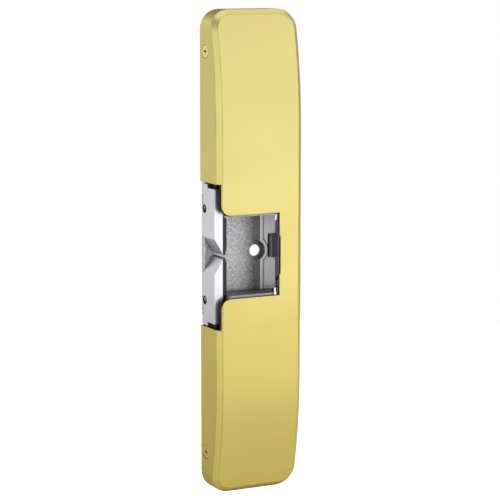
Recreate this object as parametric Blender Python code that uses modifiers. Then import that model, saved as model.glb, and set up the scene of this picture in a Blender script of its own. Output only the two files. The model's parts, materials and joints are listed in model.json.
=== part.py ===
"""Surface-mounted electric strike with two swinging keepers, in metres, +Z up.

Z runs along the strike, X across it and the front faces -Y. The mounting plane is Y = 0 and the
origin is the middle of that plane. Outlines below use x, z and the depth d in front of the mounting
plane, so that Y = -d, in millimetres. Pieces that exist twice are made for side = +1 (upper) and
side = -1 (lower), as mirror images about Z = 0.
"""

import math

import bmesh
import bpy
from mathutils import Matrix, Vector

MM = 0.001
GAP = 0.3  # between neighbours that are fixed to each other
RUN = 0.1  # radial clearance of a shaft

# Cover
WIDTH = 44.45
HEIGHT = 228.6
DEPTH = 19.05
FLAT_HALF = 60.0  # the front is flat to here, then bends back towards the ends
BEND_RADIUS = 213.0
BEND_STEPS = 5
CORNER_RADIUS = 9.25
CHAMFER = 2.3
WALL = 1.5
NOTCH_X = -20.4
NOTCH_HALF = 34.2
WINDOW_X = 9.8
WINDOW_HALF = 19.6
WINDOW_CORNER = 4.5
RELIEF_X = 10.35
RELIEF_Z = (-9.6, 8.6)
COVER_SCREW_Z = 95.0
COVER_SCREW_D = 5.3
COVER_HEAD_RADIUS = 3.0
LEFT = -WIDTH / 2
INSIDE = WIDTH / 2 - WALL

# Strike body
PLATE = 2.2
FLOOR = 2.9
PLATE_X = 20.4
PLATE_HALF = 112.4
END_WALL = (18.6, 20.8)
END_WALL_X = (-14.6, 12.6)
LOW_WALL = (7.6, 5.8)  # right of this x, the lower end wall is only this high
WALL_TOP = 17.2
CAVITY_RIGHT = 18.4
SIDE_WALL = 0.8
LEDGE = 3.4
RIB = 4.3
RIB_X = (7.4, 8.6)
LEDGE_X = (9.3, 15.7)
BOW = (5.0, 6.2)  # radii of the rib's bow round the centre hole
HOLE_X = 4.85
HOLE_RADIUS = 2.75
HOLE_BACK_RADIUS = 3.8
HINGE_X = -20.7
HINGE_D = 1.5
KNUCKLE = 1.4
PIN_RADIUS = 0.7
MID_LUG = 8.0
OUTER_LUG = (24.1, 28.0)

# Keepers
KEEPER_D = (3.2, 15.0)
KEEPER_INNER = -15.0
KEEPER_LIP = -18.0
BLADE = ((-17.0, 18.6), (-19.4, 23.2), (-20.1, 31.7))  # inner side of the thin outer end
SHOULDER_Z = 17.5
EAR_X = -20.3
EAR_END = 33.5
EAR_D = 7.5
EYE = (4.4, 21.7)
EYE_RADIUS = 2.1
RAMP_Z = 8.3
NECK_Z = 1.25
NOSE = (-19.5, 3.97)
NOSE_RADIUS = 4.5
LIP_BEVEL = 2.0
RAMP_BULGE = 0.25
SPRING_Z_RANGE = (20.2, 24.0)
SPRING_ROOM = 1.25

# Lock
AXIS_X = -8.0
AXIS_D = 9.7
SLIDER_D = (8.4, 11.0)
SLIDER_X = (-19.2, -16.6)
SLIDER_NOSE = 24.2
ARM_Z = (41.0, 44.0)
GUIDE_Z = (31.6, 35.8)
FRAME_Z = (50.0, 80.0)
FRAME_X = (-15.5, -0.5)
FRAME_D = (2.5, 15.8)
SHEET = 1.2
FOOT = 4.4  # length of the solenoid frame's feet
FOOT_SCREWS = [(-13.0, 47.6), (-3.0, 82.4)]  # x, z
GUIDE_SCREW_X = -14.6
SPRING_Z = (80.4, 89.6)

# Electronics
BOARD_D = (6.0, 7.6)
BOARD_SCREWS = [(5.2, 34.0), (16.8, 58.5)]  # x, z
SWITCH_SCREW = (5.4, 25.0)
OUTLET = (11.0, -50.0)
MOUNT_SLOT_Z = 104.0

# Leads
LEAD_RADIUS = 0.5
LEAD_X = 19.9  # where they pass the cavity

# Latch monitor
MONITOR_X = 17.0
MONITOR_D = 5.5
SHAFT_RADIUS = 0.9
PADDLE_Z = (-3.5, 7.3)
PADDLE_BAR_Z = (-13.4, 14.2)
PADDLE_ROOM = (11.6, 16.0)
BEARING_X = 15.8

SIDES = {"upper": 1, "lower": -1}


# ---------------------------------------------------------------- helpers

def clear_scene():
    for obj in list(bpy.data.objects):
        bpy.data.objects.remove(obj, do_unlink=True)


def collection(name, hidden=False):
    made = bpy.data.collections.new(name)
    bpy.context.scene.collection.children.link(made)
    made.hide_render = hidden
    return made


def at(x, d, z):
    """World position of the point x, z at depth d."""
    return Vector((x, -d, z)) * MM


def place(name, mesh, where):
    obj = bpy.data.objects.new(name, mesh)
    where.objects.link(obj)
    return obj


def mesh_of(bm, name):
    bmesh.ops.recalc_face_normals(bm, faces=bm.faces)
    mesh = bpy.data.meshes.new(name)
    bm.to_mesh(mesh)
    bm.free()
    return mesh


def box(name, x, d, z, where=None):
    """A block between the two limits of x, d and z."""
    low, high = at(x[0], d[1], min(z)), at(x[1], d[0], max(z))
    size = high - low
    bm = bmesh.new()
    scale = Matrix.Diagonal((*size, 1.0))
    bmesh.ops.create_cube(bm, size=1.0, matrix=Matrix.Translation((low + high) / 2) @ scale)
    return place(name, mesh_of(bm, name), where or PARTS)


def rod(name, radius, start, end, segments=20, tip=None, where=None):
    """A cylinder, or a cone where tip gives the radius at its end, between two points (x, d, z)."""
    a, b = at(*start), at(*end)
    turn = (b - a).to_track_quat("Z", "Y").to_matrix().to_4x4()
    bm = bmesh.new()
    bmesh.ops.create_cone(
        bm,
        cap_ends=True,
        segments=segments,
        radius1=radius * MM,
        radius2=(radius if tip is None else tip) * MM,
        depth=(b - a).length,
        matrix=Matrix.Translation((a + b) / 2) @ turn,
    )
    return place(name, mesh_of(bm, name), where or PARTS)


VIEWS = {
    "front": Matrix(((1, 0, 0), (0, 0, -1), (0, 1, 0))),  # outline (x, z), spread over d
    "top": Matrix(((1, 0, 0), (0, -1, 0), (0, 0, 1))),  # outline (x, d), spread over z
    "side": Matrix(((0, 0, 1), (-1, 0, 0), (0, 1, 0))),  # outline (d, z), spread over x
}


def solid_from_curve(curve, name, matrix, where):
    """The closed mesh of a curve, whose caps are welded to its sides."""
    obj = place(name, curve, where)
    bpy.context.view_layer.update()
    graph = bpy.context.evaluated_depsgraph_get()
    mesh = bpy.data.meshes.new_from_object(obj.evaluated_get(graph))
    bpy.data.objects.remove(obj, do_unlink=True)
    bm = bmesh.new()
    bm.from_mesh(mesh)
    bmesh.ops.remove_doubles(bm, verts=bm.verts, dist=1e-6)
    bmesh.ops.transform(bm, matrix=matrix, verts=bm.verts)
    return place(name, mesh_of(bm, name), where)


def slab(name, outline, view, span, where=None):
    """A flat outline in one of VIEWS, given a thickness between the two limits of span."""
    curve = bpy.data.curves.new(name, "CURVE")
    curve.dimensions = "2D"
    curve.fill_mode = "BOTH"
    curve.extrude = abs(span[1] - span[0]) / 2 * MM
    spline = curve.splines.new("POLY")
    spline.points.add(len(outline) - 1)
    for point, (u, v) in zip(spline.points, outline):
        point.co = (u * MM, v * MM, 0, 1)
    spline.use_cyclic_u = True
    spline.use_smooth = False
    middle = sum(span) / 2
    shift = {"front": at(0, middle, 0), "top": at(0, 0, middle), "side": at(middle, 0, 0)}[view]
    matrix = Matrix.Translation(shift) @ VIEWS[view].to_4x4()
    return solid_from_curve(curve, name, matrix, where or PARTS)


def turned(name, profile, base, axis, segments=20, where=None):
    """A body turned about the line from base along axis; profile holds (radius, distance along the axis)."""
    bm = bmesh.new()
    points = [bm.verts.new((radius * MM, 0, along * MM)) for radius, along in profile]
    for a, b in zip(points, points[1:]):
        bm.edges.new((a, b))
    if profile[0][0] > 0:
        bm.edges.new((points[-1], points[0]))
    mesh = bpy.data.meshes.new(name)
    bm.to_mesh(mesh)
    bm.free()
    obj = place(name, mesh, where or PARTS)
    screw = obj.modifiers.new("turn", "SCREW")
    screw.steps = segments
    screw.render_steps = segments
    screw.use_merge_vertices = True
    screw.merge_threshold = 1e-6
    bpy.context.view_layer.update()
    graph = bpy.context.evaluated_depsgraph_get()
    made = bpy.data.meshes.new_from_object(obj.evaluated_get(graph))
    bpy.data.objects.remove(obj, do_unlink=True)
    direction = Vector((axis[0], -axis[1], axis[2]))
    turn = direction.to_track_quat("Z", "Y").to_matrix().to_4x4()
    bm = bmesh.new()
    bm.from_mesh(made)
    bmesh.ops.remove_doubles(bm, verts=bm.verts, dist=1e-7)
    bmesh.ops.transform(bm, matrix=Matrix.Translation(at(*base)) @ turn, verts=bm.verts)
    return place(name, mesh_of(bm, name), where or PARTS)


def wire(name, points, radius, where=None):
    """A round wire through the points (x, d, z)."""
    curve = bpy.data.curves.new(name, "CURVE")
    curve.dimensions = "3D"
    curve.bevel_depth = radius * MM
    curve.bevel_resolution = 2
    curve.use_fill_caps = True
    spline = curve.splines.new("POLY")
    spline.points.add(len(points) - 1)
    for point, spot in zip(spline.points, points):
        point.co = (*at(*spot), 1)
    return solid_from_curve(curve, name, Matrix.Identity(4), where or PARTS)


def soften(obj, width, segments=1):
    """Bevels every sharp edge that the piece has so far."""
    bevel = obj.modifiers.new("soften", "BEVEL")
    bevel.width = width * MM
    bevel.segments = segments
    bevel.limit_method = "ANGLE"
    bevel.angle_limit = math.radians(50)
    return obj


def combine(obj, other, operation):
    """Cuts other from obj, joins it to obj or keeps what they share; other becomes a hidden helper."""
    for owner in list(other.users_collection):
        owner.objects.unlink(other)
    CUTTERS.objects.link(other)
    other.hide_render = True
    other.display_type = "WIRE"
    modifier = obj.modifiers.new(other.name, "BOOLEAN")
    modifier.operation = operation
    modifier.solver = "EXACT"
    modifier.object = other
    return obj


def cut(obj, *others):
    for other in others:
        combine(obj, other, "DIFFERENCE")
    return obj


def join(obj, *others):
    for other in others:
        combine(obj, other, "UNION")
    return obj


def material(name, colour, roughness, metallic):
    """A Principled material from an sRGB colour in 0..1."""
    made = bpy.data.materials.new(name)
    made.use_nodes = True
    shader = made.node_tree.nodes["Principled BSDF"]
    linear = [c / 12.92 if c <= 0.04045 else ((c + 0.055) / 1.055) ** 2.4 for c in colour]
    shader.inputs["Base Color"].default_value = (*linear, 1)
    shader.inputs["Roughness"].default_value = roughness
    shader.inputs["Metallic"].default_value = metallic
    made.diffuse_color = (*linear, 1)
    return made


def finish(obj, look, pivot=None):
    """Gives the piece its material and, if it moves, an origin on its joint."""
    obj.data.materials.clear()
    obj.data.materials.append(look)
    if pivot:
        spot = at(*pivot)
        obj.data.transform(Matrix.Translation(-spot))
        obj.location = spot
    return obj


def arc(centre, radius, start, end, steps):
    """Points on a circle from start to end, in degrees."""
    angles = [math.radians(start + (end - start) * i / steps) for i in range(steps + 1)]
    return [(centre[0] + radius * math.cos(a), centre[1] + radius * math.sin(a)) for a in angles]


def rounded(half_x, half_z, radius, steps=8):
    """A rounded rectangle about the origin."""
    u, v = half_x - radius, half_z - radius
    corners = [((u, v), 0), ((-u, v), 90), ((-u, -v), 180), ((u, -v), 270)]
    return [p for centre, start in corners for p in arc(centre, radius, start, start + 90, steps)]


def mirrored(outline, side):
    return [(u, v * side) for u, v in outline]


# ---------------------------------------------------------------- cover

def front_depth(z, inset):
    """Depth of the cover's front, or of the surface that lies inset behind it, at the height z."""
    if abs(z) <= FLAT_HALF:
        return DEPTH - inset
    return DEPTH - BEND_RADIUS + math.sqrt((BEND_RADIUS - inset) ** 2 - (abs(z) - FLAT_HALF) ** 2)


def hood(name, inset, chamfer, back, where):
    """The cover's outer form, made smaller all round by inset: three outlines lofted into each other."""
    half_x, half_z, radius = WIDTH / 2 - inset, HEIGHT / 2 - inset, CORNER_RADIUS - inset
    straight = half_z - radius
    levels = [FLAT_HALF + (straight - FLAT_HALF) * i / BEND_STEPS for i in range(BEND_STEPS)]

    def ring(bm, offset, drop, depth=None):
        """Vertices of one outline, right side upwards and left side downwards."""
        quarter = [(half_x - offset, z) for z in levels]
        quarter += arc((half_x - radius, straight), radius - offset, 0, 90, 8)
        right = [(x, -z) for x, z in reversed(quarter)] + quarter
        spots = right + [(-x, z) for x, z in reversed(right)]
        depths = [front_depth(z, inset) - drop if depth is None else depth for _, z in spots]
        return [bm.verts.new(at(x, d, z)) for (x, z), d in zip(spots, depths)]

    bm = bmesh.new()
    rings = [ring(bm, 0, 0, back), ring(bm, 0, chamfer), ring(bm, chamfer, 0)]
    count = len(rings[0])
    for low, high in zip(rings, rings[1:]):
        for i in range(count):
            j = (i + 1) % count
            bm.faces.new((low[i], low[j], high[j], high[i]))
    for i in range(count // 2 - 1):
        bm.faces.new((rings[2][i], rings[2][i + 1], rings[2][-i - 2], rings[2][-i - 1]))
    bm.faces.new(rings[0])
    return place(name, mesh_of(bm, name), where)


def cover_opening():
    """The side notch for the keepers and the front window, as one outline."""
    corner = (NOTCH_X + WINDOW_CORNER, WINDOW_HALF + WINDOW_CORNER)
    upper = [(LEFT - 4, NOTCH_HALF), (NOTCH_X, NOTCH_HALF)]
    upper += arc(corner, WINDOW_CORNER, 180, 270, 6)
    upper += [(WINDOW_X, WINDOW_HALF), (WINDOW_X, RELIEF_Z[1]), (RELIEF_X, RELIEF_Z[1])]
    lower = [(LEFT - 4, -NOTCH_HALF), (NOTCH_X, -NOTCH_HALF)]
    lower += [(u, -v) for u, v in arc(corner, WINDOW_CORNER, 180, 270, 6)]
    lower += [(WINDOW_X, -WINDOW_HALF), (WINDOW_X, RELIEF_Z[0]), (RELIEF_X, RELIEF_Z[0])]
    return upper + lower[::-1]


def make_cover():
    cover = hood("cover", 0.0, CHAMFER, 0.0, PARTS)
    inner_chamfer = CHAMFER - WALL * (2 - math.sqrt(2))
    cut(cover, hood("cover_hollow", WALL, inner_chamfer, -4.0, CUTTERS))
    cut(cover, slab("cover_window", cover_opening(), "front", (-5, DEPTH + 5)))
    for hand in (-1, 1):
        for name, side in SIDES.items():
            spot = (COVER_SCREW_D, COVER_SCREW_Z * side)
            outer = (hand * (WIDTH / 2 + 0.2), *spot)
            inner = (hand * (INSIDE - 0.3), *spot)
            sink = rod(f"sink_{hand}_{name}", COVER_HEAD_RADIUS + 0.35, outer, inner, 20, 1.65)
            cut(cover, sink)
    return finish(cover, BRASS)


def make_cover_screws():
    for hand_name, hand in (("left", -1), ("right", 1)):
        for name, side in SIDES.items():
            base = (hand * (WIDTH / 2 - 0.1), COVER_SCREW_D, COVER_SCREW_Z * side)
            profile = [(0, 0), (COVER_HEAD_RADIUS, 0), (1.4, -1.45), (1.4, -6.5), (0, -6.5)]
            screw = turned(f"cover_screw_{hand_name}_{name}", profile, base, (hand, 0, 0), 16)
            for turn in (0, 1):
                half = (1.8, 0.35) if turn else (0.35, 1.8)
                x = sorted((hand * (WIDTH / 2 + 0.5), hand * (WIDTH / 2 - 0.8)))
                d = (COVER_SCREW_D - half[0], COVER_SCREW_D + half[0])
                z = (base[2] - half[1], base[2] + half[1])
                cut(screw, box(f"cross_{hand_name}_{name}_{turn}", x, d, z))
            finish(screw, BRASS_SCREW)


# ---------------------------------------------------------------- strike body

def make_rib():
    """The ribbed strip right of the latch floor, hollowed on its left, which bows round the centre hole."""
    low, ends = FLOOR - 0.5, (-END_WALL[0] - 0.5, END_WALL[0] + 0.5)
    fillet = arc((RIB_X[0] - 2.6, FLOOR + 2.6), 2.6, 270, 333, 5)
    outline = [(x, min(d, RIB)) for x, d in fillet] + [(RIB_X[0], RIB), (RIB_X[1], RIB), (RIB_X[1], low)]
    rib = slab("rib", [(fillet[0][0], low)] + outline, "top", ends)
    cut(rib, rod("rib_gap", BOW[0], (HOLE_X, FLOOR, 0), (HOLE_X, 8, 0), 32))
    bow = arc((HOLE_X, 0), BOW[1], -57, 57, 14) + arc((HOLE_X, 0), BOW[0], 57, -57, 14)
    join(rib, slab("rib_bow", bow, "front", (low + 0.1, RIB - 0.02)))
    ledge = box("ledge", LEDGE_X, (low, LEDGE), ends)
    cut(ledge, rod("ledge_gap", BOW[1] + 0.7, (HOLE_X, 0, 0), (HOLE_X, 8, 0), 32))
    return rib, ledge


def body_blocks():
    """Blocks that stand on the plate: name, x, d, z."""
    low = PLATE - 0.5
    right = (CAVITY_RIGHT, CAVITY_RIGHT + SIDE_WALL)
    tall_to = {"upper": END_WALL_X[1], "lower": LOW_WALL[0]}
    blocks = [
        ("low_wall", (LOW_WALL[0] - 1, END_WALL_X[1]), (low, LOW_WALL[1]), (-END_WALL[1], -END_WALL[0])),
        ("latch_floor", (-18.9, RIB_X[1]), (0.6, FLOOR), (-20.0, 20.0)),
        ("right_wall", right, (low, WALL_TOP), (-23.4, 23.4)),
        ("connector_rib_left", (3.6, 5.2), (low, 9.0), (-72.0, -66.0)),
        ("connector_rib_right", (16.8, 18.4), (low, 9.0), (-72.0, -66.0)),
    ]
    for name, side in SIDES.items():
        def span(a, b):
            return sorted((a * side, b * side))
        blocks += [
            (f"end_wall_{name}", (END_WALL_X[0], tall_to[name]), (low, WALL_TOP), span(*END_WALL)),
            (f"shaft_lug_{name}", (BEARING_X, right[1]), (3.9, 7.1), span(*END_WALL)),
            (f"guide_post_{name}", (-18.6, -12.9), (low, SLIDER_D[0] - GAP), span(*GUIDE_Z)),
            (f"screw_lug_left_{name}", (-20.3, -14.5), (low, 9.0), span(90.5, 99.5)),
            (f"screw_lug_right_{name}", (14.5, 20.3), (low, 9.0), span(90.5, 99.5)),
        ]
    return blocks


def make_strike_body():
    body = slab("strike_body", rounded(PLATE_X, PLATE_HALF, 7.4, 6), "front", (0, PLATE))
    cut(body, box("keeper_bay", (-25, -18.9), (-2, 6), (-33.9, 33.9)))
    for name, x, d, z in body_blocks():
        join(body, box(name, x, d, z))
    join(body, *make_rib())
    knuckle = arc((HINGE_X, HINGE_D), KNUCKLE, 90, 270, 8)
    knuckle += [(-18.0, HINGE_D - KNUCKLE), (-18.0, HINGE_D + KNUCKLE)]
    join(body, slab("mid_lug", knuckle, "top", (-MID_LUG, MID_LUG)))
    for name, side in SIDES.items():
        join(body, slab(f"outer_lug_{name}", knuckle, "top", sorted(z * side for z in OUTER_LUG)))
    posts = [(*spot, 2.0, BOARD_D[0] - GAP) for spot in BOARD_SCREWS] + [(*SWITCH_SCREW, 1.8, 3.4)]
    for i, (x, z, radius, top) in enumerate(posts):
        join(body, rod(f"post_{i}", radius, (x, PLATE - 0.5, z), (x, top, z), 16))
    cut_strike_body(body)
    return finish(body, CAST)


def cut_strike_body(body):
    """Bores, slots and openings of the strike body."""
    hinge, monitor, x = (HINGE_X, HINGE_D), (MONITOR_X, MONITOR_D), HOLE_X
    cut(body, rod("hinge_bore", PIN_RADIUS + RUN, (*hinge, -30), (*hinge, 30), 24))
    cut(body, rod("centre_hole", HOLE_RADIUS, (x, -2, 0), (x, 8, 0), 28))
    cut(body, rod("centre_hole_back", HOLE_BACK_RADIUS, (x, -2, 0), (x, PLATE, 0), 28))
    cut(body, rod("monitor_bore", SHAFT_RADIUS + RUN, (*monitor, -23), (*monitor, 23), 20))
    cut(body, rod("outlet_hole", 5.0, (OUTLET[0], -2, OUTLET[1]), (OUTLET[0], 6, OUTLET[1]), 24))
    cut(body, box("slit_upper", (15.8, 18.2), (-2, 4), (13.0, 18.2)))
    cut(body, box("slit_lower", (15.8, 18.2), (-2, 4), (-22.8, -19.0)))
    cut(body, box("paddle_room", PADDLE_ROOM, (1.2, 6), (PADDLE_Z[0] - GAP, PADDLE_Z[1] + GAP)))
    slot = rounded(2.75, 4.5, 2.74, 6)
    for name, side in SIDES.items():
        def span(a, b):
            return sorted((a * side, b * side))
        outline = [(u, v + MOUNT_SLOT_Z * side) for u, v in slot]
        cut(body, slab(f"mount_slot_{name}", outline, "front", (-2, 6)))
        cut(body, box(f"spring_groove_{name}", (-19.5, -15.6), (1.4, 4.0), span(20.4, 21.3)))
        for hand in (-1, 1):
            outer = (hand * 21, COVER_SCREW_D, COVER_SCREW_Z * side)
            inner = (hand * 14, COVER_SCREW_D, COVER_SCREW_Z * side)
            cut(body, rod(f"cover_tap_{name}_{hand}", 1.5, outer, inner, 16))
        for i, (x, z) in enumerate([*FOOT_SCREWS, (GUIDE_SCREW_X, sum(GUIDE_Z) / 2)]):
            cut(body, rod(f"tap_{name}_{i}", 1.1, (x, -1, z * side), (x, 12, z * side), 12))
    for i, (x, z) in enumerate([*BOARD_SCREWS, SWITCH_SCREW]):
        cut(body, rod(f"post_tap_{i}", 0.9, (x, -1, z), (x, 12, z), 12))


# ---------------------------------------------------------------- keepers

def keeper_outline():
    """One keeper seen from the front, on the +Z side."""
    start, end = Vector((LEFT + 0.02, RAMP_Z)), Vector((KEEPER_LIP, NECK_Z))
    across = Vector((start.y - end.y, end.x - start.x)).normalized()
    steps = 5
    ramp = []
    for i in range(steps + 1):
        t = i / steps
        ramp.append(tuple(start.lerp(end, t) + across * RAMP_BULGE * 4 * t * (1 - t)))
    nose = arc(NOSE, NOSE_RADIUS, -51.5, 0, 7)
    return ramp + nose + [(KEEPER_INNER, SHOULDER_Z), *BLADE, (LEFT + 0.02, BLADE[-1][1])]


def make_keeper(name, side):
    def span(a, b):
        return sorted((a * side, b * side))

    keeper = slab(f"keeper_{name}", mirrored(keeper_outline(), side), "front", KEEPER_D)
    lip = [(KEEPER_LIP, KEEPER_D[1] + 0.01), (KEEPER_INNER + 1.5, KEEPER_D[1] + 0.01),
           (KEEPER_INNER + 1.5, KEEPER_D[1] - LIP_BEVEL * 1.5)]
    cut(keeper, slab(f"keeper_lip_{name}", lip, "top", span(0.2, 40)))
    web = (1.5, KEEPER_D[0] + 0.5)
    join(keeper, box(f"keeper_web_{name}", (LEFT + 0.02, -19.9), web, span(RAMP_Z + 0.1, EAR_END)))
    join(keeper, box(f"keeper_ear_{name}", (LEFT + 0.02, EAR_X), (1.6, EAR_D), span(20.5, EAR_END - 0.02)))
    ends = [(HINGE_X, HINGE_D, z * side) for z in (RAMP_Z, EAR_END - 0.04)]
    join(keeper, rod(f"keeper_barrel_{name}", KNUCKLE, *ends))
    lug_room = span(OUTER_LUG[0] - GAP, OUTER_LUG[1] + GAP)
    cut(keeper, box(f"lug_room_{name}", (-24, -17.5), (-1, FLOOR + 0.2), lug_room))
    ends = [(HINGE_X, HINGE_D, z * side) for z in (5, 36)]
    cut(keeper, rod(f"keeper_bore_{name}", PIN_RADIUS + RUN, *ends, 24))
    ends = [(HINGE_X, HINGE_D, z * side) for z in SPRING_Z_RANGE]
    cut(keeper, rod(f"spring_room_{name}", SPRING_ROOM, *ends, 24))
    cut(keeper, box(f"leg_room_{name}", (HINGE_X, -15.5), (1.6, FLOOR), span(20.3, 21.4)))
    wire_path = [(HINGE_X, HINGE_D + 0.3, 23.4 * side), (-21.1, 5.6, 21.4 * side)]
    cut(keeper, rod(f"wire_path_{name}", 0.5, *wire_path, 12))
    spot = (EYE[0], EYE[1] * side)
    cut(keeper, rod(f"keeper_eye_{name}", EYE_RADIUS, (-24, *spot), (-20.1, *spot), 24))
    pocket_d = (SLIDER_D[0] - 0.4, SLIDER_D[1] + 0.4)
    cut(keeper, box(f"lock_pocket_{name}", (-19.5, -16.2), pocket_d, span(18.55, 27)))
    return finish(keeper, STEEL, (HINGE_X, HINGE_D, 0))


def make_hinge_pin(name, side):
    ends = [(HINGE_X, HINGE_D, z * side) for z in (1.2, 33.2)]
    finish(rod(f"hinge_pin_{name}", PIN_RADIUS, *ends, 16), PIN_STEEL)


def make_keeper_spring(name, side):
    """Torsion spring round the hinge pin: one leg lies in the keeper's eye, one in the body's groove."""
    radius, turns, per_turn, pitch = 0.98, 6, 10, 0.4
    first = 20.9
    points = [(-16.2, 2.2, first * side), (-18.6, 2.2, first * side)]
    for i in range(turns * per_turn + 1):
        angle = math.radians(90 - 360 * i / per_turn)
        x = HINGE_X + radius * math.cos(angle)
        d = HINGE_D + radius * math.sin(angle)
        points.append((x, d, (first + pitch * i / per_turn) * side))
    end = points[-1]
    points += [(-20.85, 3.2, end[2] - 0.3 * side), (-21.1, 5.6, 21.4 * side)]
    spring = wire(f"keeper_spring_{name}", points, 0.16)
    finish(spring, SPRING_STEEL, (HINGE_X, HINGE_D, 0))


# ---------------------------------------------------------------- lock

def make_lock_slider(name, side):
    outline = [
        (SLIDER_X[0], SLIDER_NOSE), (SLIDER_X[1], SLIDER_NOSE), (SLIDER_X[1], ARM_Z[0]),
        (AXIS_X + 3.4, ARM_Z[0]), (AXIS_X + 3.4, ARM_Z[1]),
        (SLIDER_X[0], ARM_Z[1]),
    ]
    slider = slab(f"lock_slider_{name}", mirrored(outline, side), "front", SLIDER_D)
    eye = [(AXIS_X, AXIS_D, z * side) for z in (ARM_Z[0] - 1, ARM_Z[1] + 1)]
    hub = [(AXIS_X, AXIS_D, z * side) for z in ARM_Z]
    join(slider, rod(f"slider_hub_{name}", 3.3, *hub, 20))
    cut(slider, rod(f"slider_eye_{name}", 1.65, *eye, 16))
    finish(slider, OXIDE, (AXIS_X, AXIS_D, SLIDER_NOSE * side))


def ring(inner, outer, start, end):
    """Turning profile of a ring."""
    return [(inner, start), (outer, start), (outer, end), (inner, end)]


def make_armature(name, side):
    """The solenoid's moving core with its stem, the clip on its nose and the spring's collar."""
    core = [(0, 39.2), (1.5, 39.2), (1.5, 44.3), (3.0, 44.3)]
    core += [(3.0, 70.0), (1.3, 70.0), (1.3, 92.5), (0, 92.5)]
    pieces = [
        (f"armature_{name}", core, IRON),
        (f"front_clip_{name}", ring(1.6, 2.9, 39.9, 40.7), SPRING_STEEL),
        (f"rear_collar_{name}", ring(1.4, 3.2, 89.9, 91.4), ZINC),
    ]
    for piece, profile, look in pieces:
        made = turned(piece, profile, (AXIS_X, AXIS_D, 0), (0, 0, side), 20)
        finish(made, look, (AXIS_X, AXIS_D, SLIDER_NOSE * side))


def make_lock_spring(name, side):
    turns, per_turn, radius, thick = 6, 10, 2.3, 0.25
    low, high = SPRING_Z[0] + thick, SPRING_Z[1] - thick
    points = []
    for i in range(turns * per_turn + 1):
        share = i / (turns * per_turn)
        angle = 2 * math.pi * i / per_turn
        z = (low + (high - low) * share) * side
        points.append((AXIS_X + radius * math.cos(angle), AXIS_D + radius * math.sin(angle), z))
    spring = wire(f"lock_spring_{name}", points, thick)
    finish(spring, SPRING_STEEL, (AXIS_X, AXIS_D, SPRING_Z[0] * side))


def make_solenoid(name, side):
    """Bent sheet frame with two feet, bobbin and coil."""
    back, top = FRAME_D[0] + SHEET, FRAME_D[1]
    front, rear = FRAME_Z
    outline = [
        (FRAME_D[0], front - FOOT), (back, front - FOOT), (back, front), (top, front),
        (top, front + SHEET), (back, front + SHEET), (back, rear - SHEET), (top, rear - SHEET),
        (top, rear), (back, rear), (back, rear + FOOT), (FRAME_D[0], rear + FOOT),
    ]
    frame = slab(f"solenoid_frame_{name}", mirrored(outline, side), "side", FRAME_X)
    ends = [(AXIS_X, AXIS_D, z * side) for z in (48, 66)]
    cut(frame, rod(f"frame_bore_{name}", 3.3, *ends, 20))
    ends = [(AXIS_X, AXIS_D, z * side) for z in (66, 84)]
    cut(frame, rod(f"frame_rear_bore_{name}", 1.6, *ends, 16))
    for i, (x, z) in enumerate(FOOT_SCREWS):
        cut(frame, rod(f"foot_hole_{name}_{i}", 1.25, (x, 0, z * side), (x, 8, z * side), 14))
        make_screw(f"solenoid_screw_{name}_{i + 1}", (x, back + 0.1, z * side), 1.8, 1.0, 3.6)
    finish(frame, ZINC)
    low, high = front + SHEET + GAP, rear - SHEET - GAP
    spool = [(3.3, low), (5.7, low), (5.7, low + 1), (4.2, low + 1)]
    spool += [(4.2, high - 1), (5.7, high - 1), (5.7, high), (3.3, high)]
    finish(turned(f"bobbin_{name}", spool, (AXIS_X, AXIS_D, 0), (0, 0, side), 20), NYLON)
    winding = ring(4.4, 5.4, low + 1 + GAP, high - 1 - GAP)
    finish(turned(f"coil_{name}", winding, (AXIS_X, AXIS_D, 0), (0, 0, side), 24), TAPE)


def make_guide(name, side):
    low, high = SLIDER_D[0], SLIDER_D[1] + GAP
    top = high + 1.0
    outline = [
        (-20.1, low), (-20.1, top), (-12.9, top), (-12.9, low), (SLIDER_X[1] + GAP, low),
        (SLIDER_X[1] + GAP, high), (SLIDER_X[0] - GAP, high), (SLIDER_X[0] - GAP, low),
    ]
    guide = slab(f"slider_guide_{name}", outline, "top", sorted(z * side for z in GUIDE_Z))
    spot = (GUIDE_SCREW_X, sum(GUIDE_Z) / 2 * side)
    cut(guide, rod(f"guide_hole_{name}", 1.15, (spot[0], 6, spot[1]), (spot[0], 15, spot[1]), 14))
    finish(guide, OXIDE)
    make_screw(f"guide_screw_{name}", (spot[0], top + 0.1, spot[1]), 1.5, 0.9, 6.5, OXIDE)


def make_screw(name, seat, head_radius, head_height, length, look=None):
    """A slotted pan-head screw that points into the body, its head's underside at seat."""
    shank = 0.85
    profile = [(0, head_height), (head_radius * 0.7, head_height), (head_radius, head_height * 0.5),
               (head_radius, 0), (shank, 0), (shank, -length), (0, -length)]
    screw = turned(name, profile, seat, (0, 1, 0), 14)
    x, d, z = seat
    slot_d = (d + head_height * 0.5, d + head_height + 1)
    cut(screw, box(name + "_slot", (x - 0.25, x + 0.25), slot_d, (z - 3, z + 3)))
    finish(screw, look or SCREW_STEEL)


# ---------------------------------------------------------------- electronics

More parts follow.
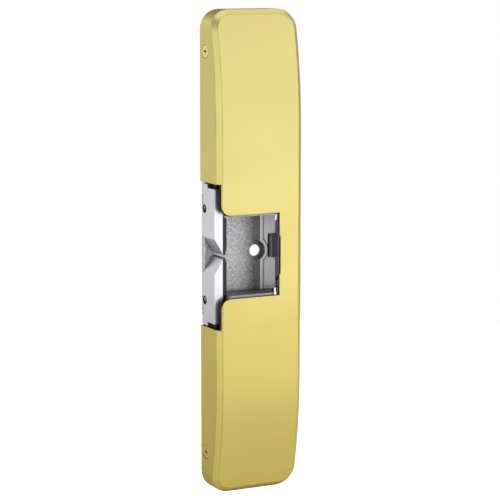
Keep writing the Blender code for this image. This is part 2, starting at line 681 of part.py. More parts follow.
def make_board():
    board = box("circuit_board", (2.4, 19.6), BOARD_D, (30.5, 62.0))
    for i, (x, z) in enumerate(BOARD_SCREWS):
        cut(board, rod(f"board_hole_{i}", 1.1, (x, 4, z), (x, 10, z), 14))
        make_screw(f"board_screw_{i + 1}", (x, BOARD_D[1] + 0.1, z), 1.7, 1.0, 4.6)
    finish(board, BOARD)
    finish(soften(box("bridge_rectifier", (4.0, 10.5), (7.9, 10.6), (40.0, 46.5)), 0.4), BLACK)
    can = [(0, 15.2), (3.5, 15.2), (3.9, 14.8), (3.9, 8.6), (3.6, 8.3), (3.9, 8.0), (3.6, 7.9), (0, 7.9)]
    finish(turned("capacitor", can, (14.6, 0, 43.5), (0, 1, 0), 20), CAN)
    header = box("board_connector", (4.0, 13.0), (7.9, 13.4), (52.0, 58.0))
    cut(header, box("header_well", (4.8, 12.2), (9.0, 15), (52.8, 57.2)))
    finish(header, NYLON)


def make_outlet():
    profile = [(3.4, 0.3), (4.6, 0.3), (4.6, 2.6), (6.4, 2.6), (6.4, 3.9), (3.9, 3.9), (3.4, 3.4)]
    finish(turned("wire_grommet", profile, (OUTLET[0], 0, OUTLET[1]), (0, 1, 0), 24), RUBBER)
    plug = box("lead_connector", (5.5, 16.5), (2.5, 9.0), (-74.0, -64.0))
    cut(plug, box("lead_well", (6.4, 15.6), (3.4, 8.1), (-76.0, -66.5)))
    finish(plug, NYLON)


# ---------------------------------------------------------------- latch monitor

def make_monitor():
    axis = (MONITOR_X, MONITOR_D)
    pivot = (*axis, 0)
    shaft = rod("monitor_shaft", SHAFT_RADIUS, (*axis, -21.6), (*axis, 27.6), 16)
    finish(shaft, PIN_STEEL, pivot)
    paddle = soften(box("monitor_paddle", (15.4, 17.9), (3.9, 7.1), PADDLE_BAR_Z), 0.4)
    join(paddle, soften(box("paddle_pad", (11.9, 16.6), (4.0, 6.5), PADDLE_Z), 0.4))
    cut(paddle, rod("paddle_bore", SHAFT_RADIUS + RUN, (*axis, -30), (*axis, 30), 20))
    finish(paddle, BLACK, pivot)
    cam = box("monitor_cam", (15.4, 18.4), (3.9, 7.1), (23.7, 26.8))
    cut(cam, rod("cam_bore", SHAFT_RADIUS + RUN, (*axis, 20), (*axis, 30), 20))
    finish(cam, NYLON, pivot)
    make_monitor_switch()
    make_monitor_spring()


def make_monitor_switch():
    switch = soften(box("monitor_switch", (3.2, 13.4), (3.7, 9.4), (22.2, 28.2)), 0.3)
    x, z = SWITCH_SCREW
    cut(switch, rod("switch_hole", 1.1, (x, 2, z), (x, 12, z), 14))
    cut(switch, box("button_well", (12.0, 16), (5.0, 7.0), (23.8, 26.2)))
    finish(switch, BLACK)
    make_screw("switch_screw", (x, 9.5, z), 1.7, 1.0, 8.0)
    finish(box("switch_button", (12.8, 15.1), (5.2, 6.8), (24.0, 26.0)), RED)


def make_monitor_spring():
    """Torsion spring on the monitor's shaft: one leg on the latch floor, one in front of the paddle."""
    radius, per_turn, pitch = 1.15, 12, 0.62
    first = -17.6
    points = [(9.8, 3.9, first), (13.0, 3.9, first), (15.4, 4.0, first)]
    for i in range(54):
        angle = math.radians(270 + 360 * i / per_turn)
        x = MONITOR_X + radius * math.cos(angle)
        points.append((x, MONITOR_D + radius * math.sin(angle), first + pitch * i / per_turn))
    points += [(17.6, 7.7, -14.3), (17.6, 7.7, -10.0)]
    finish(wire("monitor_spring", points, 0.2), SPRING_STEEL)


# ---------------------------------------------------------------- leads

def smooth_route(points, per_leg=4):
    """Points on a Catmull-Rom curve through the given ones."""
    spots = [Vector(p) for p in points]
    spots = [spots[0] * 2 - spots[1]] + spots + [spots[-1] * 2 - spots[-2]]
    out = []
    for i in range(1, len(spots) - 2):
        a, b, c, e = spots[i - 1:i + 3]
        for k in range(per_leg):
            t = k / per_leg
            out.append(tuple(0.5 * ((2 * b) + (c - a) * t + (2 * a - 5 * b + 4 * c - e) * t * t
                                    + (3 * b - a - 3 * c + e) * t ** 3)))
    out.append(tuple(spots[-2]))
    return out


def make_leads():
    """Wires held inside the cover, each from its own terminal to the board."""
    past_cavity = {
        "coil_lead_lower_red": [(-3.2, 13.9, -53.6), (1.2, 13.9, -53.2), (6.0, 12.8, -44.0),
                                (15.5, 12.2, -33.0)],
        "coil_lead_lower_black": [(-3.2, 13.9, -56.6), (2.4, 15.0, -56.4), (8.0, 15.2, -46.0),
                                  (16.0, 14.4, -33.5)],
        "supply_lead_red": [(9.0, 6.0, -63.7), (9.4, 6.4, -58.5), (16.4, 7.0, -38.0)],
        "supply_lead_black": [(13.0, 6.0, -63.7), (14.0, 6.4, -58.5), (18.2, 8.6, -44.0)],
    }
    ends = {
        "coil_lead_lower_red": (12.0, 17.2),
        "coil_lead_lower_black": (14.0, 14.6),
        "supply_lead_red": (6.0, 9.4),
        "supply_lead_black": (8.0, 12.0),
    }
    routes = {
        "coil_lead_upper_red": [(-3.2, 13.9, 53.6), (-1.0, 14.6, 52.0), (1.2, 13.5, 52.0),
                                (4.4, 14.6, 54.2)],
        "coil_lead_upper_black": [(-3.2, 13.9, 56.0), (-1.0, 14.6, 56.5), (1.2, 13.5, 57.0),
                                  (4.4, 14.6, 56.4)],
    }
    for name, route in past_cavity.items():
        level, x = ends[name]
        route += [(LEAD_X - 0.3, level, -28.0), (LEAD_X, level, -22.5), (LEAD_X, level, 22.5)]
        route += [(LEAD_X - 0.3, level, 28.0), (x + (LEAD_X - x) * 0.3, 11.0, 32.5)]
        route += [(x, 9.8, 35.4), (x, 8.1, 36.0)]
        routes[name] = route
    for name, route in routes.items():
        look = RED if name.endswith("red") else BLACK
        finish(wire(name, smooth_route(route, 3), LEAD_RADIUS), look)


def main():
    make_cover()
    make_cover_screws()
    make_strike_body()
    for name, side in SIDES.items():
        make_keeper(name, side)
        make_hinge_pin(name, side)
        make_keeper_spring(name, side)
        make_lock_slider(name, side)
        make_armature(name, side)
        make_lock_spring(name, side)
        make_solenoid(name, side)
        make_guide(name, side)
    make_board()
    make_outlet()
    make_monitor()
    make_leads()


clear_scene()
PARTS = collection("electric_door_strike")
CUTTERS = collection("cutters", hidden=True)
BRASS = material("satin_brass", (0.87, 0.80, 0.49), 0.42, 0.75)
BRASS_SCREW = material("brass_screw", (0.82, 0.74, 0.42), 0.35, 0.9)
STEEL = material("satin_steel", (0.78, 0.78, 0.79), 0.35, 0.9)
PIN_STEEL = material("pin_steel", (0.70, 0.70, 0.72), 0.25, 1.0)
SPRING_STEEL = material("spring_steel", (0.60, 0.60, 0.62), 0.3, 1.0)
SCREW_STEEL = material("screw_steel", (0.66, 0.66, 0.67), 0.3, 1.0)
CAST = material("cast_zinc", (0.62, 0.62, 0.64), 0.6, 0.7)
ZINC = material("zinc_plate", (0.74, 0.75, 0.77), 0.4, 0.9)
OXIDE = material("black_oxide_steel", (0.13, 0.13, 0.14), 0.5, 0.6)
IRON = material("soft_iron", (0.50, 0.50, 0.52), 0.4, 0.9)
NYLON = material("white_nylon", (0.88, 0.87, 0.82), 0.5, 0.0)
TAPE = material("coil_tape", (0.85, 0.70, 0.20), 0.45, 0.0)
BOARD = material("circuit_board", (0.10, 0.35, 0.20), 0.45, 0.0)
BLACK = material("black_plastic", (0.10, 0.10, 0.11), 0.5, 0.0)
CAN = material("capacitor_sleeve", (0.12, 0.16, 0.30), 0.4, 0.1)
RED = material("red_plastic", (0.70, 0.10, 0.08), 0.5, 0.0)
RUBBER = material("grommet_rubber", (0.09, 0.09, 0.09), 0.8, 0.0)
main()
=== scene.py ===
import json
import math

import bmesh
import bpy
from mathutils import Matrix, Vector


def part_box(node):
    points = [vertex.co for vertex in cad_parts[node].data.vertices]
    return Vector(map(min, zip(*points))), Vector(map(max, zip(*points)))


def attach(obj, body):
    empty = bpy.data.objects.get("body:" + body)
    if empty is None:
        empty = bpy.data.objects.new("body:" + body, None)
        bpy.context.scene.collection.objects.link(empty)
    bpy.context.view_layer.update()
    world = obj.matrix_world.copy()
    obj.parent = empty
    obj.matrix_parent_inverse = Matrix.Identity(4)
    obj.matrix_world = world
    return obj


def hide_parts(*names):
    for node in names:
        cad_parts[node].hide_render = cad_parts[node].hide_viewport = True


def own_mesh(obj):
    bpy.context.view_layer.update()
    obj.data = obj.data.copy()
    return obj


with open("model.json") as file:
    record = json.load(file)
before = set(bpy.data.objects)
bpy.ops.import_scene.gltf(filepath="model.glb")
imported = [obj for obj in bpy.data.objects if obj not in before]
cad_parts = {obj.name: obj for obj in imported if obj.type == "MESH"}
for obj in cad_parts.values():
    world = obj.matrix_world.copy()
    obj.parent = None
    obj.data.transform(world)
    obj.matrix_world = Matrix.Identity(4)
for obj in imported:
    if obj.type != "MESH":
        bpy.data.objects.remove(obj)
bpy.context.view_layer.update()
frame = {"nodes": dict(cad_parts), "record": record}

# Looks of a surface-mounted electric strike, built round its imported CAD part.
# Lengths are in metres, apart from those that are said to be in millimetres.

MM = 0.001
SCENE = bpy.context.scene
SLOT_OF = {part["node"]: part["material_slot"] for part in frame["record"]["subparts"]}
BODY_OF = {node: body for body, nodes in frame["record"]["behaviour"]["bodies"].items() for node in nodes}

COVER_LOW, COVER_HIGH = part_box("cover")
COVER_MIDDLE = (COVER_LOW + COVER_HIGH) / 2
HALF_WIDTH = (COVER_HIGH.x - COVER_LOW.x) / 2
END_START = HALF_WIDTH * 2.4  # how far above or below the middle a face can belong to the cover's ends
OPENING_REACH = 40 * MM  # the side openings are within this height of the middle
COVER_SKIN = 0.4 * MM  # faces this close to the cover's full width are its outside
OUTSIDE_MARGIN = 0.1 * MM  # an outside face looks away from the cover's middle by more than this
SQUARE = 0.05  # a face is square to an axis when its normal has less than this along it

# The lock springs, which shorten as their sliders move, and their slides; here each spring's piece only gets
# a mesh of its own
SLIDE_OF_SPRING = {"lock_spring_upper": "upper_lock_slide", "lock_spring_lower": "lower_lock_slide"}

# Places on the casting and the keepers, in millimetres
CAVITY_END = 18.6  # the latch cavity ends this far above and below the middle
END_WALLS = (CAVITY_END - 1, CAVITY_END + 2)  # the middles of its end walls' faces are between these
FLOOR_DEPTHS = (2.0, 5.0)  # the latch floor and the ledge lie between these, in front of the frame's origin
FLOOR_LEFT = -17.0  # the latch floor starts here
RIB_LEFT = 7.3  # the ledge is to the right of this
RIB_TOP = 4.25  # or further forward than this
EYE = (4.4, 21.7)  # an eye's place in front of the frame's origin, and above or below it
EYE_RADIUS = 2.2
EYE_SIDES = (-22.0, -19.5)  # the eye's faces are between these from left to right

# How far the normals of some faces turn towards the right, the front or the middle, out of 1
LIP_BEVEL_RIGHT = (0.4, 0.9)
LIP_BEVEL_FRONT = 0.4
CAVITY_FRONT = 0.3
END_WALL_INWARD = 0.5

# Edges are rounded by these radii, in millimetres
ROUNDED = {"cover": 0.35, "strike_body": 0.25, "keeper_upper": 0.28, "keeper_lower": 0.28}
SLIGHTLY_ROUNDED = 0.08  # for the boxy pieces inside, and the cover's screws
BOXY = ("lock_slider", "slider_guide", "solenoid_frame", "circuit_board", "board_connector", "lead_connector",
        "monitor_cam", "switch_button", "monitor_paddle", "monitor_switch", "bridge_rectifier", "cover_screw")
ROUNDING_STEPS = 2
SMOOTH_ANGLE = math.radians(32)  # a sharper turn than this is an edge
FLAT_ANGLE = math.radians(0.6)  # triangles that turn less than this are one face
WELD_DISTANCE = 0.001 * MM

# The photograph's viewing direction and lens, round the frame's origin
CAMERA_AZIMUTH = -26.81
CAMERA_ELEVATION = 8.52
CAMERA_DISTANCE = 0.9371
CAMERA_LENS = 141.6
CAMERA_SENSOR = 36
CAMERA_SHIFT = 0.0147

# The white room
FLOOR_RADIUS = 0.45
FLOOR_SIDES = 96
FLOOR_GAP = 0.05 * MM
DARK_PAPER = (0.86, 0.86, 0.86)
LIGHT_PAPER = (0.88, 0.88, 0.88)
PAPER_CLOUD_SIZE = 40.0  # in millimetres
PAPER_GLOW = 0.03  # the floor's own light on the strike; to look at it is fully white
FILL_COLOUR = (0.97, 0.98, 1.0)
FILL_STRENGTH = 0.04


# ---------------------------------------------------------------- materials

# Sockets of the Mix node that carry colours
COLOUR_A, COLOUR_B, COLOUR_RESULT = 6, 7, 2

EVEN = (1, 1, 1)
BRUSHED = (1, 1, 0.02)
WHITE = (1, 1, 1)
BLACK = (0.0, 0.0, 0.0)
BRASS_EDGE = (1.0, 0.83, 0.25)  # brass keeps its colour where it is seen at a low angle
SHADE_BELOW_RANGE = (60 * MM, -110 * MM)  # painted shade: the brass is painted deeper in tone from the upper height down to the lower one, for light that falls from above

# Values of noise between which an effect goes from none to full
CLOUD_BAND = (0.3, 0.7)
SPECKLE_BAND = (0.42, 0.60)
EDGE_MARK_BAND = (0.35, 0.6)
GLOSS_BAND = (0.6, 1.4)  # clouds and grain added up

CLOUD_SIZE = 22.0  # in millimetres
EDGE_BAND = (0.998, 0.965)  # how far a rounded normal agrees with the flat one, from no edge to a full edge
SMOOTHER, ROUGHER = 0.05, 0.07  # how far roughness goes below and above its mean
EDGE_SHINE = 0.08  # how much less rough a marked edge is
RELIEF_DEPTH = 0.1 * MM
RAGGED_SIZE = 2.0  # of the unevenness of a painted shade band's border, in millimetres
RAGGED_REACH = 0.5 * MM


def linear(colour):
    """Scene-linear colour from an sRGB one in 0..1."""
    return [c / 12.92 if c <= 0.04045 else ((c + 0.055) / 1.055) ** 2.4 for c in colour]


def scaled(colour, factor):
    """A colour made brighter or darker."""
    return [min(1.0, channel * factor) for channel in colour]


class Graph:
    """Short ways to add nodes to one material."""

    def __init__(self, name):
        self.material = bpy.data.materials.new(name)
        self.material.use_nodes = True
        self.tree = self.material.node_tree
        self.shader = self.tree.nodes["Principled BSDF"]

    def node(self, kind, inputs=(), **settings):
        """A new node. Each input is given as a value, or as the socket to link it from."""
        made = self.tree.nodes.new(kind)
        for key, value in settings.items():
            setattr(made, key, value)
        for key, value in dict(inputs).items():
            if isinstance(value, bpy.types.NodeSocket):
                self.tree.links.new(value, made.inputs[key])
            else:
                made.inputs[key].default_value = value
        return made

    def coordinates(self, stretch=EVEN):
        """Place on the object. A pattern is drawn out along an axis whose stretch is below 1."""
        place = self.node("ShaderNodeTexCoord").outputs["Object"]
        return self.node("ShaderNodeMapping", {"Vector": place, "Scale": stretch}).outputs["Vector"]

    def along(self, axis):
        """Place along one axis of the object, "X", "Y" or "Z"."""
        return self.node("ShaderNodeSeparateXYZ", {"Vector": self.coordinates()}).outputs[axis]

    def noise(self, size_mm, stretch=EVEN, detail=3.0):
        """Noise in 0..1 whose features are about size_mm across."""
        made = self.node("ShaderNodeTexNoise", {
            "Vector": self.coordinates(stretch), "Scale": 1 / (size_mm * MM), "Detail": detail})
        return made.outputs["Fac"]

    def ramp(self, value, low, high, out_low=0.0, out_high=1.0):
        """Turns low..high into out_low..out_high, and keeps within them."""
        made = self.node("ShaderNodeMapRange", {
            "Value": value, "From Min": low, "From Max": high, "To Min": out_low, "To Max": out_high})
        return made.outputs["Result"]

    def mix(self, factor, a, b, blend="MIX"):
        """Colour a where factor is 0 and b, or the blend of both, where it is 1."""
        made = self.node("ShaderNodeMix", {"Factor": factor}, data_type="RGBA", blend_type=blend)
        for socket, value in ((made.inputs[COLOUR_A], a), (made.inputs[COLOUR_B], b)):
            if isinstance(value, bpy.types.NodeSocket):
                self.tree.links.new(value, socket)
            else:
                socket.default_value = (*value, 1)
        return made.outputs[COLOUR_RESULT]

    def math(self, operation, a, b):
        """Two values added, multiplied or the like."""
        made = self.node("ShaderNodeMath", {0: a, 1: b}, operation=operation)
        return made.outputs[0]

    def edges(self, radius_mm):
        """1 along convex and concave edges, 0 on flat faces."""
        soft = self.node("ShaderNodeBevel", {"Radius": radius_mm * MM}, samples=4).outputs["Normal"]
        flat = self.node("ShaderNodeNewGeometry").outputs["Normal"]
        dot = self.node("ShaderNodeVectorMath", {0: soft, 1: flat}, operation="DOT_PRODUCT")
        return self.ramp(dot.outputs["Value"], *EDGE_BAND)

    def crevices(self, reach_mm):
        """1 where the surface is open, 0 deep in corners and gaps."""
        made = self.node("ShaderNodeAmbientOcclusion", {"Distance": reach_mm * MM}, samples=6)
        return made.outputs["AO"]

    def link(self, value, socket):
        """Feeds a value into the shader."""
        self.tree.links.new(value, self.shader.inputs[socket])


def shaded_across(graph, tone, start_mm, end_mm, strength):
    """Painted shade: a tone that darkens across the object, with a ragged border."""
    across = graph.along("X")
    unevenness = graph.ramp(graph.noise(RAGGED_SIZE), 0.0, 1.0, -RAGGED_REACH, RAGGED_REACH)
    ragged = graph.math("ADD", across, unevenness)
    return graph.mix(graph.ramp(ragged, start_mm * MM, end_mm * MM, 0.0, strength), tone, BLACK)


def corner_shaded(graph, tone, corner_shade, reach_mm, band):
    """Painted shade: a tone that darkens in corners and gaps, where shade falls."""
    shade = graph.ramp(graph.crevices(reach_mm), *band, 1 - corner_shade, 1.0)
    shade_colour = graph.node("ShaderNodeCombineColor", {"Red": shade, "Green": shade, "Blue": shade})
    return graph.mix(1.0, tone, shade_colour.outputs["Color"], "MULTIPLY")


def surface(name, colour, roughness, metallic, grain, coat=0.0, edge_tint=WHITE, stretch=EVEN, spread=0.06,
            bump=0.05, speckle=0.0, shade_below_tone=None, shade_bands=(), edge_wear_and_shade=0.0, edge_tone=1.25, edge_reach=0.35,
            corner_shade=0.0, corner_shade_reach=3.0, corner_shade_range=(0.0, 1.0)):
    """A procedural finish: tone clouds, grain in colour, gloss, relief, scuffed edges, and painted shade in
    places.

    Colours are sRGB. The grain's size, both reaches and the painted shade bands' places are in millimetres.
    Spread, bump, speckle, edge marks and corner shade are strengths; an edge is its tone times as bright
    (below 1: painted shade).
    """
    graph = Graph(name)
    base = linear(colour)
    clouds = graph.noise(CLOUD_SIZE, detail=4.0)
    fine = graph.noise(grain, stretch)
    tone = graph.mix(graph.ramp(clouds, *CLOUD_BAND), scaled(base, 1 - spread), scaled(base, 1 + spread))
    if speckle:
        tone = graph.mix(graph.ramp(fine, *SPECKLE_BAND), tone, scaled(base, 1 - speckle))
    # Painted shade: the tone is painted darker towards the bottom, for light that falls from above
    if shade_below_tone:
        tone = graph.mix(graph.ramp(graph.along("Z"), *SHADE_BELOW_RANGE), tone, linear(shade_below_tone))
    # Painted shade in bands across the object
    for start_mm, end_mm, strength in shade_bands:
        tone = shaded_across(graph, tone, start_mm, end_mm, strength)
    both = graph.math("ADD", fine, clouds)
    gloss = graph.ramp(both, *GLOSS_BAND, roughness - SMOOTHER, roughness + ROUGHER)
    # Edge marks: scuffed, brighter edges where the tone is above 1; below 1, as on the brass, painted shade
    # along the edges
    if edge_wear_and_shade:
        patchy = graph.ramp(clouds, *EDGE_MARK_BAND, edge_wear_and_shade / 2, edge_wear_and_shade)
        edge_marks = graph.math("MULTIPLY", graph.edges(edge_reach), patchy)
        tone = graph.mix(edge_marks, tone, scaled(base, edge_tone))
        gloss = graph.math("SUBTRACT", gloss, graph.math("MULTIPLY", edge_marks, EDGE_SHINE))
    # Painted shade in corners and gaps
    if corner_shade:
        tone = corner_shaded(graph, tone, corner_shade, corner_shade_reach, corner_shade_range)
    relief = graph.node("ShaderNodeBump", {"Height": fine, "Strength": bump, "Distance": RELIEF_DEPTH})
    graph.link(tone, "Base Color")
    graph.link(gloss, "Roughness")
    graph.link(relief.outputs["Normal"], "Normal")
    graph.shader.inputs["Metallic"].default_value = metallic
    graph.shader.inputs["Coat Weight"].default_value = coat
    graph.shader.inputs["Specular Tint"].default_value = (*edge_tint, 1)
    return graph.material


# One finish for each material slot of the record, and the five that only some faces of a piece have
FINISHES = {
    "satin_brass": dict(
        colour=(0.74, 0.695, 0.44), roughness=0.46, metallic=0.65, coat=0.1, edge_tint=BRASS_EDGE,
        grain=0.25, stretch=BRUSHED, spread=0.02, bump=0.04, shade_below_tone=(0.745, 0.68, 0.365),
        # The brass's edges are painted darker: painted shade along them
        edge_wear_and_shade=1.0, edge_tone=0.42, edge_reach=0.7, corner_shade=0.25, corner_shade_reach=1.5),
    "brass_screw": dict(
        colour=(0.86, 0.77, 0.42), roughness=0.36, metallic=0.85, grain=0.2, spread=0.05,
        # The screw's edges are painted darker: painted shade along them
        edge_wear_and_shade=0.9, edge_tone=0.45, corner_shade=0.9, corner_shade_reach=1.2),
    # Painted shade: the cover's inside and cut edges are painted near black
    "shaded_cut_brass": dict(
        colour=(0.06, 0.055, 0.05), roughness=0.85, metallic=0.0, grain=0.3, spread=0.15, bump=0.10),

    "satin_steel": dict(
        colour=(0.68, 0.675, 0.69), roughness=0.34, metallic=0.85, grain=0.22, spread=0.025, bump=0.06,
        edge_wear_and_shade=0.5, edge_tone=1.2, corner_shade=0.85, corner_shade_reach=4.0, corner_shade_range=(0.1, 0.9)),
    # Painted shade: the bevel inside each keeper's lip is a darker copy of the satin steel
    "shaded_lip_steel": dict(
        colour=(0.30, 0.295, 0.31), roughness=0.34, metallic=0.85, grain=0.22, bump=0.06),
    "pin_steel": dict(
        colour=(0.72, 0.72, 0.74), roughness=0.25, metallic=0.95, grain=0.3, stretch=(1, 1, 0.05), bump=0.03),
    "spring_steel": dict(
        colour=(0.88, 0.88, 0.90), roughness=0.28, metallic=0.7, grain=0.15),
    "screw_steel": dict(
        colour=(0.72, 0.72, 0.74), roughness=0.30, metallic=0.95, grain=0.2, edge_wear_and_shade=0.5, corner_shade=0.5),
    "black_oxide_steel": dict(
        colour=(0.13, 0.13, 0.14), roughness=0.5, metallic=0.6, grain=0.3, spread=0.15,
        edge_wear_and_shade=0.5, edge_tone=2.0),
    "soft_iron": dict(
        colour=(0.56, 0.56, 0.58), roughness=0.35, metallic=0.95, grain=0.2, stretch=(1, 1, 0.1),
        spread=0.08),

    "cast_zinc": dict(
        colour=(0.78, 0.775, 0.80), roughness=0.55, metallic=0.35, grain=0.50, bump=0.35, speckle=0.45,
        edge_wear_and_shade=0.8, edge_tone=1.4, corner_shade=0.85, corner_shade_range=(0.35, 0.92)),
    # Painted light and shade: the latch floor is a lighter copy of the cast zinc, with painted shade bands
    # towards the rib and beside the keepers
    "latch_floor": dict(
        colour=(0.98, 0.975, 0.99), roughness=0.55, metallic=0.10, grain=0.34, spread=0.04, bump=0.5,
        speckle=0.62, shade_bands=((-8.0, 6.5, 0.86), (-14.6, -16.5, 0.48)), corner_shade=0.6, corner_shade_reach=1.5),
    # Painted shade: the cavity's end walls are a darker copy of the cast zinc
    "shaded_end_zinc": dict(
        colour=(0.42, 0.415, 0.43), roughness=0.5, metallic=0.35, grain=0.6, spread=0.2, bump=0.35,
        speckle=0.45, edge_wear_and_shade=1.0, edge_tone=2.2),
    # Painted light: the ledge is a lighter copy of the cast zinc, as little light reaches it under the cover
    "ledge": dict(
        colour=(0.97, 0.965, 0.98), roughness=0.45, metallic=0.0, grain=0.30, spread=0.03, bump=0.15,
        edge_wear_and_shade=0.8, edge_tone=1.3),
    "zinc_plate": dict(
        colour=(0.78, 0.79, 0.82), roughness=0.38, metallic=0.9, grain=0.5, spread=0.08, edge_wear_and_shade=0.4),

    "white_nylon": dict(
        colour=(0.88, 0.87, 0.82), roughness=0.48, metallic=0.0, grain=0.4, spread=0.03),
    "coil_tape": dict(
        colour=(0.86, 0.70, 0.20), roughness=0.40, metallic=0.0, grain=0.8, stretch=(0.1, 0.1, 1),
        bump=0.3),
    "circuit_board": dict(
        colour=(0.09, 0.34, 0.19), roughness=0.38, metallic=0.0, coat=0.3, grain=0.9, spread=0.10,
        speckle=0.2),
    "black_plastic": dict(
        colour=(0.34, 0.33, 0.35), roughness=0.45, metallic=0.0, grain=0.25, spread=0.10, bump=0.10,
        edge_wear_and_shade=0.5, edge_tone=1.6),
    "capacitor_sleeve": dict(
        colour=(0.12, 0.16, 0.30), roughness=0.32, metallic=0.0, coat=0.3, grain=0.6),
    "red_plastic": dict(
        colour=(0.70, 0.10, 0.08), roughness=0.40, metallic=0.0, grain=0.5),
    "grommet_rubber": dict(
        colour=(0.10, 0.10, 0.10), roughness=0.75, metallic=0.0, grain=0.2, bump=0.15),
}


# ---------------------------------------------------------------- pieces

def welded(node):
    """A fresh mesh from a CAD node, with its triangles joined back into flat faces."""
    source = frame["nodes"][node].data
    mesh = bpy.data.meshes.new(node + "_finished")
    mesh.from_pydata([v.co for v in source.vertices], [], [p.vertices for p in source.polygons])
    form = bmesh.new()
    form.from_mesh(mesh)
    bmesh.ops.remove_doubles(form, verts=form.verts, dist=WELD_DISTANCE)
    bmesh.ops.dissolve_limit(form, angle_limit=FLAT_ANGLE, verts=form.verts, edges=form.edges)
    form.to_mesh(mesh)
    form.free()
    return mesh


def round_edges(piece, radius_mm):
    """Small rounded edges, which catch the light."""
    rounding = piece.modifiers.new("rounding", "BEVEL")
    rounding.width = radius_mm * MM
    rounding.segments = ROUNDING_STEPS
    rounding.limit_method = "ANGLE"
    rounding.angle_limit = SMOOTH_ANGLE
    rounding.use_clamp_overlap = True
    rounding.miter_outer = "MITER_ARC"


def finished(node, look, radius_mm):
    """A piece that stands for a CAD node: same form, with rounded edges and smooth round faces."""
    mesh = welded(node)
    mesh.materials.append(look)
    piece = bpy.data.objects.new(node + "_finished", mesh)
    SCENE.collection.objects.link(piece)
    mesh.shade_smooth()
    mesh.set_sharp_from_angle(angle=SMOOTH_ANGLE)
    if radius_mm:
        round_edges(piece, radius_mm)
    normals = piece.modifiers.new("normals", "WEIGHTED_NORMAL")
    normals.keep_sharp = True
    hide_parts(node)
    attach(piece, BODY_OF[node])
    if node in SLIDE_OF_SPRING:
        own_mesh(piece)
    return piece


def cover_look(face):
    """The cover's inside and the cut edges of its openings are painted dark, as painted shade."""
    outward = face.center - COVER_MIDDLE
    outward.z = max(0.0, abs(face.center.z) - END_START) * math.copysign(1, face.center.z)
    is_inside = outward.dot(face.normal) < OUTSIDE_MARGIN
    near_opening = abs(face.center.z) < OPENING_REACH and abs(face.center.x) < HALF_WIDTH - COVER_SKIN
    is_cut_edge = near_opening and abs(face.normal.y) < SQUARE
    return "shaded_cut_brass" if is_inside or is_cut_edge else None


def casting_look(face):
    """Painted light on the latch floor and the ledge at its right, painted shade on the end walls of the
    casting.
    """
    x, y, z = face.center / MM
    looks_inward = abs(face.normal.z) > END_WALL_INWARD and z * face.normal.z < 0
    if looks_inward and END_WALLS[0] < abs(z) < END_WALLS[1]:
        return "shaded_end_zinc"
    looks_forward = -face.normal.y >= CAVITY_FRONT
    in_cavity = abs(z) <= CAVITY_END and x >= FLOOR_LEFT and FLOOR_DEPTHS[0] < -y < FLOOR_DEPTHS[1]
    if not (looks_forward and in_cavity):
        return None
    return "ledge" if x > RIB_LEFT or -y > RIB_TOP else "latch_floor"


def keeper_look(face):
    """The bevel inside a keeper's lip and the eye in its side are painted darker, as painted shade."""
    x, y, z = face.center / MM
    from_eye = math.hypot(-y - EYE[0], abs(z) - EYE[1])
    # Painted shade: the eye's inner faces get the dark blackened steel
    if from_eye < EYE_RADIUS and EYE_SIDES[0] < x < EYE_SIDES[1]:
        return "black_oxide_steel"
    turns_right = LIP_BEVEL_RIGHT[0] < face.normal.x < LIP_BEVEL_RIGHT[1]
    is_bevel = turns_right and -face.normal.y > LIP_BEVEL_FRONT
    return "shaded_lip_steel" if is_bevel else None


# The pieces that have more than one look, what chooses it for each face, and the looks it chooses from
FACE_LOOKS = {
    "cover": (cover_look, ("shaded_cut_brass",)),
    "strike_body": (casting_look, ("latch_floor", "ledge", "shaded_end_zinc")),
    "keeper_upper": (keeper_look, ("shaded_lip_steel", "black_oxide_steel")),
    "keeper_lower": (keeper_look, ("shaded_lip_steel", "black_oxide_steel")),
}


def paint_faces(piece, looks, choose, names):
    """Gives each face the look that is chosen for it; the others keep the piece's own."""
    index_of = {None: 0}
    for name in names:
        index_of[name] = len(piece.data.materials)
        piece.data.materials.append(looks[name])
    for face in piece.data.polygons:
        face.material_index = index_of[choose(face)]


def build_pieces(looks):
    """One piece for each CAD node, in the look of its slot."""
    for node in sorted(frame["nodes"]):
        radius_mm = ROUNDED.get(node, SLIGHTLY_ROUNDED if node.startswith(BOXY) else 0.0)
        piece = finished(node, looks[SLOT_OF[node]], radius_mm)
        if node in FACE_LOOKS:
            paint_faces(piece, looks, *FACE_LOOKS[node])


# ---------------------------------------------------------------- stage

def add_floor():
    """A round pale floor, bright enough to fade into the background."""
    mesh = bpy.data.meshes.new("floor")
    form = bmesh.new()
    bmesh.ops.create_circle(form, cap_ends=True, segments=FLOOR_SIDES, radius=FLOOR_RADIUS)
    form.to_mesh(mesh)
    form.free()
    floor = bpy.data.objects.new("floor", mesh)
    floor.location.z = COVER_LOW.z - FLOOR_GAP
    SCENE.collection.objects.link(floor)
    graph = Graph("floor_paper")
    graph.link(graph.mix(graph.noise(PAPER_CLOUD_SIZE), DARK_PAPER, LIGHT_PAPER), "Base Color")
    graph.shader.inputs["Roughness"].default_value = 0.9
    graph.shader.inputs["Specular IOR Level"].default_value = 0.0
    graph.shader.inputs["Emission Color"].default_value = (*WHITE, 1)
    seen = graph.node("ShaderNodeLightPath").outputs["Is Camera Ray"]
    graph.link(graph.ramp(seen, 0.0, 1.0, PAPER_GLOW, 1.0), "Emission Strength")
    mesh.materials.append(graph.material)


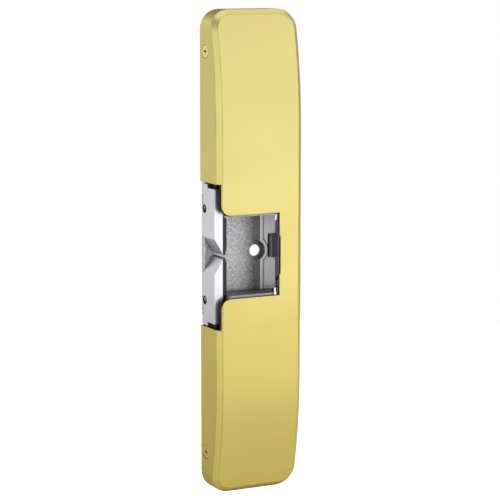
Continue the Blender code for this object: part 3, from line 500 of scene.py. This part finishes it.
def add_world():
    """White to look at, and a weaker even light on the object."""
    world = bpy.data.worlds.new("studio")
    world.use_nodes = True
    tree = world.node_tree
    seen = tree.nodes["Background"]
    seen.inputs["Color"].default_value = (*WHITE, 1)
    seen.inputs["Strength"].default_value = 1.0
    lit = tree.nodes.new("ShaderNodeBackground")
    lit.inputs["Color"].default_value = (*FILL_COLOUR, 1)
    lit.inputs["Strength"].default_value = FILL_STRENGTH
    path = tree.nodes.new("ShaderNodeLightPath")
    mix = tree.nodes.new("ShaderNodeMixShader")
    tree.links.new(path.outputs["Is Camera Ray"], mix.inputs[0])
    tree.links.new(lit.outputs[0], mix.inputs[1])
    tree.links.new(seen.outputs[0], mix.inputs[2])
    tree.links.new(mix.outputs[0], tree.nodes["World Output"].inputs["Surface"])
    SCENE.world = world


def around(azimuth, elevation, distance):
    """A place seen from the frame's origin: azimuth 0 is in front of the strike and 90 to its right."""
    turn, rise = math.radians(azimuth), math.radians(elevation)
    level = math.cos(rise)
    return distance * Vector((math.sin(turn) * level, -math.cos(turn) * level, math.sin(rise)))


def add_light(name, spot, width, height, radiance):
    """A soft panel that faces the strike."""
    data = bpy.data.lights.new(name, "AREA")
    data.shape = "RECTANGLE"
    data.size = width
    data.size_y = height
    data.energy = radiance * math.pi * width * height
    light = bpy.data.objects.new(name, data)
    light.location = spot
    light.rotation_euler = (-spot).to_track_quat("-Z", "Y").to_euler()
    SCENE.collection.objects.link(light)


def add_lights():
    """Panels round the strike, from left to right and then above."""
    add_light("left_front_panel", around(-48, 4, 1.3), width=0.55, height=1.0, radiance=5.3)
    add_light("left_panel", around(-78, 4, 1.3), width=0.4, height=1.0, radiance=2.0)
    add_light("left_back_panel", around(-150, 4, 1.4), width=0.8, height=1.2, radiance=1.75)
    add_light("left_back_top", around(-145, 40, 0.7), width=0.4, height=0.4, radiance=1.25)
    add_light("right_front_panel", around(24, 4, 1.5), width=0.6, height=1.2, radiance=2.65)
    add_light("right_front_middle", around(27, 18, 1.3), width=0.4, height=0.5, radiance=1.0)
    add_light("right_front_low", around(27, -7, 0.45), width=0.3, height=0.08, radiance=2.4)
    add_light("right_panel", around(48, 4, 1.3), width=0.5, height=1.0, radiance=0.8)
    add_light("right_side", around(72, 8, 1.2), width=0.5, height=1.0, radiance=3.6)
    add_light("right_top", around(60, 55, 0.9), width=0.5, height=0.5, radiance=5.9)
    add_light("top", around(-30, 80, 0.7), width=0.4, height=0.4, radiance=2.8)


def add_camera():
    """A camera where the photograph was taken from."""
    data = bpy.data.cameras.new("camera")
    data.lens = CAMERA_LENS
    data.sensor_width = CAMERA_SENSOR
    data.shift_x = CAMERA_SHIFT
    data.clip_start = 0.01
    camera = bpy.data.objects.new("camera", data)
    camera.location = around(CAMERA_AZIMUTH, CAMERA_ELEVATION, CAMERA_DISTANCE)
    camera.rotation_euler = (-camera.location).to_track_quat("-Z", "Y").to_euler()
    SCENE.collection.objects.link(camera)
    SCENE.camera = camera


build_pieces({name: surface(name, **finish) for name, finish in FINISHES.items()})
add_floor()
add_world()
add_lights()
add_camera()
SCENE.view_settings.view_transform = "Standard"
